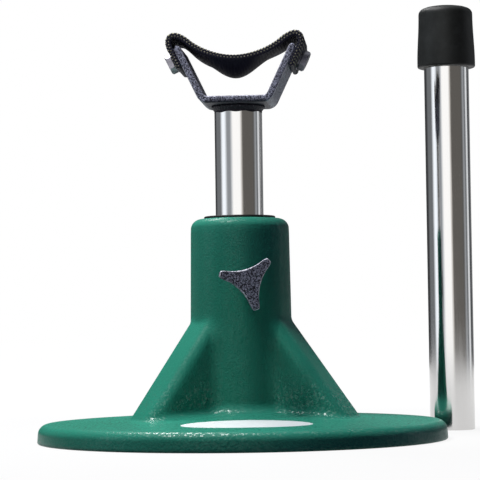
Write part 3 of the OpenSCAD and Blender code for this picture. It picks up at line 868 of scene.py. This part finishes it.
# %% Bolts and washers
def plated(name, dull, bright):
    """Plated steel that has tarnished in clouds from bright to dull."""
    plate = Finish(name, Metallic=1.0)
    tarnish = plate.noise(130.0, 5.0, roughness=0.6)
    plate.show(
        Base_Color=plate.mix(tarnish.between(0.3, 0.7), dull, bright),
        Roughness=tarnish * 0.3 + 0.22,
        Normal=plate.bump(plate.noise(900.0, 3.0), 0.2, 0.0003),
    )
    return plate


# Painted light and shade: one plated steel, in a shaded copy for the right bolt and washer and a lit copy for
# the left.
bolt_plates = [
    plated("bolt_steel_painted_shade", (0.03, 0.03, 0.04, 1), (0.15, 0.15, 0.18, 1)),
    plated("bolt_steel_painted_light", (0.12, 0.12, 0.14, 1), (0.36, 0.35, 0.40, 1)),
]
hole_r, washer_top = bolt_r + 0.5, washer_z + washer_t
washer_corners = [(hole_r, washer_z), (washer_r, washer_z), (washer_r, washer_top), (hole_r, washer_top)]
washer_edge = rounded(washer_corners, [0.2, 0.2, 0.5, 0.2], hold=0.1)
for side, hand in enumerate(("right", "left")):
    bolt = hexagon_bolt(f"sling_bolt_{hand}_head", on_bolt(side))
    dress(bolt, "post", "bolt_steel", bolt_plates[side], f"sling_bolt_{hand}")
    washer = turned(f"sling_washer_{hand}_punched", washer_edge, sides=96, place=on_bolt(side))
    dress(washer, "post", "bolt_steel", bolt_plates[side], f"sling_washer_{hand}")

# %% [markdown]
# ## Clamp
# The knob is a cast three-arm star in the same hammered coat, on a threaded stud that runs in a brass
# insert and ends in a pad. Its hollow sides are arcs. One polar outline then gives every row of the knob,
# from its round boss to the star.

# %% Outline of the knob
knob_face, knob_t, boss_r, boss_h = 89, 9, 11, 8
knob_tip_r, knob_tip_w, knob_waist_r = 28.8, 7.5, 12
knob_turn, knob_edge = math.radians(45), 1.6
along_clamp = Matrix.Translation((0, 0, clamp_z * mm)) @ Matrix.Rotation(math.pi / 2, 4, "X")
tip_corner = knob_tip_r * heading(math.pi / 3) + knob_tip_w / 2 * heading(-math.pi / 6)
hollow = (tip_corner @ tip_corner - knob_waist_r**2) / 2 / (tip_corner[0] - knob_waist_r)
sweep = math.atan2(tip_corner[1], hollow - tip_corner[0])
s = np.linspace(np.pi + sweep, np.pi - sweep, 60)
hollow_side = (hollow - knob_waist_r) * np.column_stack([np.cos(s), np.sin(s)]) + [hollow, 0]
spin = lambda k: np.array([[math.cos(k), math.sin(k)], [-math.sin(k), math.cos(k)]])
outline = np.vstack([hollow_side @ spin(k) for k in np.radians([0, 120, 240])])
outline = outline[np.argsort(np.arctan2(outline[:, 1], outline[:, 0]))]
a = np.linspace(0, 2 * np.pi, 360, endpoint=False)
star = np.interp(a, np.arctan2(outline[:, 1], outline[:, 0]), np.hypot(*outline.T), period=2 * np.pi)
star = np.mean([np.roll(star, k) for k in range(-3, 4)], axis=0)
print("hollow of the knob's sides", round(float(hollow - knob_waist_r), 1))

# %% Knob
lift = np.sin(np.linspace(0, np.pi / 2, 6))
ease = 1 - np.cos(np.linspace(0, np.pi / 2, 6))
knob_back, boss = knob_face - knob_t, 0 * star + boss_r
boss_foot = knob_back - boss_h
rows = [(0 * star, boss_foot), (boss - 1.5, boss_foot)]
rows += [(boss - 1 + lift[k], boss_foot + ease[k]) for k in range(6)]
rows += [(boss, knob_back - 1), (boss + 0.5, knob_back), (star * 0.7 + boss * 0.3, knob_back)]
rows += [(star - knob_edge + knob_edge * lift[k], knob_back + knob_edge * ease[k]) for k in range(6)]
rows += [(star - knob_edge * ease[k], knob_face - knob_edge + knob_edge * lift[k]) for k in range(6)]
rows += [(star * share, knob_face) for share in (0.85, 0.6, 0.3, 0)]
r, z = np.array([row[0] for row in rows]), np.array([row[1] for row in rows])[:, None]
# Rubbed, bright rows on the knob's rounding, which are also a painted highlight.
rubbed_and_highlit = np.zeros(r.shape)
rubbed_and_highlit[-9:-5] = 0.75  # the rounding between the knob's side and its face
knob_grid = ringed(r, a + knob_turn - np.pi / 3, z)
knob = skin("clamp_knob_star", placed(knob_grid, along_clamp), marks={"wear_and_highlight": rubbed_and_highlit})
dress(knob, "knob", "powder_coat", knob_coat, "clamp_knob")

# %% [markdown]
# The stud's thread is a helix: its radius falls from the crest as a triangle wave of height along the
# axis less the turn, so that the crest climbs one pitch in a turn. Modelled as a surface it needs no
# boolean cut.

# %% Threaded stud
screw_r, pitch, thread_depth = 6, 1.75, 0.95
spigot_r, spigot_len = 3, 2
screw_tip, screw_end = 28.55, 84.5
root_r = screw_r - thread_depth
a = np.linspace(0, 2 * np.pi, 60, endpoint=False)
z = np.arange(screw_tip + 0.4, screw_end, pitch / 10)[:, None]
crest = np.abs(2 * np.mod(z / pitch - a / (2 * np.pi), 1) - 1)
thread_r = screw_r - thread_depth * np.clip(1.25 * crest - 0.12, 0, 1)
plain = lambda *radii: np.outer(radii, 0 * a + 1)
screw_rows = np.vstack([plain(0, spigot_r, spigot_r, root_r), thread_r, plain(root_r, 0)])
spigot_end = screw_tip - spigot_len
screw_z = np.concatenate([[spigot_end, spigot_end, screw_tip, screw_tip], z[:, 0], [screw_end, screw_end]])
screw = skin("clamp_screw_thread", placed(ringed(screw_rows, a, screw_z[:, None]), along_clamp))
zinc = Finish("screw_steel", Metallic=1.0)
haze = zinc.noise(220.0, 4.0)
zinc.show(
    Base_Color=zinc.mix(haze, (0.42, 0.42, 0.43, 1), (0.66, 0.65, 0.63, 1)),
    Roughness=haze * 0.25 + 0.2,
)
dress(screw, "knob", "screw_steel", zinc, "clamp_screw")

# %% [markdown]
# The insert, the pad and the guide bush lie inside the column, where their plain turned shapes are all
# that there is. So they keep their solids and only get a finish: brass with lathe marks, and black nylon.

# %% Insert, pad and bush keep their solids
brass = Finish("turned_brass", Metallic=1.0)
lathe = brass.noise(900.0, 2.0, stretch=(0.05, 1, 0.05))
brass.show(
    Base_Color=brass.mix(lathe, (0.62, 0.43, 0.17, 1), (0.80, 0.60, 0.30, 1)),
    Roughness=lathe * 0.2 + 0.2,
)
nylon = Finish("black_nylon", Specular_IOR_Level=0.4)
haze = nylon.noise(200.0, 3.0)
nylon.show(
    Base_Color=nylon.mix(haze, (0.012, 0.012, 0.013, 1), (0.030, 0.030, 0.032, 1)),
    Roughness=haze * 0.2 + 0.35,
)
for node, finish in (("clamp_insert", brass), ("clamp_pad", brass), ("guide_bush", nylon)):
    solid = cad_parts[node]
    solid.data.materials.clear()
    solid.data.materials.append(finish.material)
    print(node, finish.material.name)

# %% [markdown]
# ## Studio
# The photograph has a white ground, soft light from the upper left and a dark right side. More light
# would bleach the stand, so the floor and the world are white only to the camera, mirrors and glass, and
# give the stand itself almost no light. Under the stand the floor is a little greyer, and it keeps the
# stand's shadow.

# %% Floor and world
floor_half = 12
floor_corners = [(-1, -1, 0), (1, -1, 0), (1, 1, 0), (-1, 1, 0)]
floor_mesh = bpy.data.meshes.new("floor")
floor_mesh.from_pydata((np.array(floor_corners) * floor_half).tolist(), [], [(0, 1, 2, 3)])
floor = bpy.data.objects.new("floor", floor_mesh)
scene.collection.objects.link(floor)
ground = Finish(
    "pale_floor",
    Base_Color=(0.08, 0.08, 0.08, 1), Roughness=0.9, Specular_IOR_Level=0.0, Emission_Strength=1.0,
)
away = ground.node("ShaderNodeVectorMath", {"operation": "LENGTH"}, {0: ground.place()}, "Value")
pale = ground.mix(away.between(0.45, 1.3), (0.89, 0.89, 0.89, 1), (1, 1, 1, 1))
ground.show(Emission_Color=ground.mix(ground.looked_at(), (0, 0, 0, 1), pale))
floor_mesh.materials.append(ground.material)

world = bpy.data.worlds.new("studio")
world.use_nodes = True
scene.world = world
sky = Chain(world.node_tree)
sky_tone = sky.mix(sky.looked_at(), (0.008, 0.008, 0.06, 1), (1, 1, 1, 1))
sky.tree.links.new(sky_tone.socket, sky.tree.nodes["Background"].inputs["Color"])
print("floor", 2 * floor_half, "metres wide")

# %% [markdown]
# Polished steel has hardly a colour of its own: it shows what stands round it. In a studio those are
# cards, white ones that are lit and dark ones that are not, and the bands on the post are their
# reflections. Here they are painted on one round wall with soft edges, out of the camera's sight, and
# only reflections show it. Each card has the turns from the camera's side at which it starts and ends,
# its tone and its warmth.

# %% Cards round the stand
wall_r, wall_low, wall_high = 3.2, -0.5, 4.5
card_soft, full_tone, dark_tone = 14, 1.5, 0.06
camera_side = math.degrees(view_turn) - 90
studio_cards = {
    "left_flat": (-136, -92, 0.23, 0),
    "left_softbox": (-92, -65, 1.5, 0),
    "left_grey_flat": (-65, -35, 0.42, 0),
    "front_softbox": (-35, 12, 1.5, 0.5),
    "right_warm_flat": (12, 78, 0.15, 1),
    "right_strip": (83, 93, 0.6, 0),
    "far_strip": (105, 116, 1.5, 0.3),
    "back_flat": (135, 172, 0.23, 0.2),
}
wall_turn = np.arange(-180, 180, 0.5)
wall_tone, wall_warmth = 0 * wall_turn + dark_tone, 0 * wall_turn
for start, end, tone, warmth in studio_cards.values():
    cover = ramp(wall_turn, start - card_soft / 2, start + card_soft / 2)
    cover *= ramp(wall_turn, end + card_soft / 2, end - card_soft / 2)
    wall_tone += (tone - dark_tone) * cover
    wall_warmth += warmth * cover
wall_at = np.radians(wall_turn + camera_side)
wall_line = np.column_stack([wall_r * np.cos(wall_at), wall_r * np.sin(wall_at), 0 * wall_at])
wall = skin(
    "surround",
    np.stack([wall_line + (0, 0, height) for height in (wall_low, wall_high)]),
    marks={"tone": np.tile(wall_tone / full_tone, (2, 1)), "warmth": np.tile(wall_warmth, (2, 1))},
)
cards = Finish(
    "surround_cards",
    Base_Color=(0, 0, 0, 1), Roughness=1.0, Specular_IOR_Level=0.0, Emission_Strength=1.0,
)
card_white = cards.mix(cards.mark("warmth"), (1.40, 1.48, 1.58, 1), (1.57, 1.48, 1.36, 1))
cards.show(Emission_Color=cards.mix(cards.mark("tone"), (0, 0, 0, 1), card_white))
wall.data.materials.append(cards.material)
wall.visible_camera = False
wall.visible_shadow = False
wall.visible_diffuse = False
print("cards round the stand", len(studio_cards))

# %% [markdown]
# The stand itself is lit by three soft lamps, all well above it: the key from the left front, one nearly
# overhead, and one from behind on the left that parts the stand from the ground.

# %% Lamps
lamp_aim = Vector((0, 0, 0.2))


def lamp(name, turn, height, distance, size, power):
    """Square soft lamp that looks at the middle of the stand; turn is counted from the camera's side."""
    light = bpy.data.lights.new(name, "AREA")
    light.size = size
    light.energy = power
    made = bpy.data.objects.new(name, light)
    scene.collection.objects.link(made)
    spot = np.radians(turn + camera_side)
    made.location = (distance * math.cos(spot), distance * math.sin(spot), height)
    made.rotation_euler = (lamp_aim - made.location).to_track_quat("-Z", "Y").to_euler()
    print(name, tuple(round(x, 2) for x in made.location))


lamp("key", -60, 1.5, 0.6, 0.3, 16)
lamp("top", -90, 1.7, 0.12, 0.5, 9)
lamp("back", -150, 1.4, 0.8, 0.5, 12)
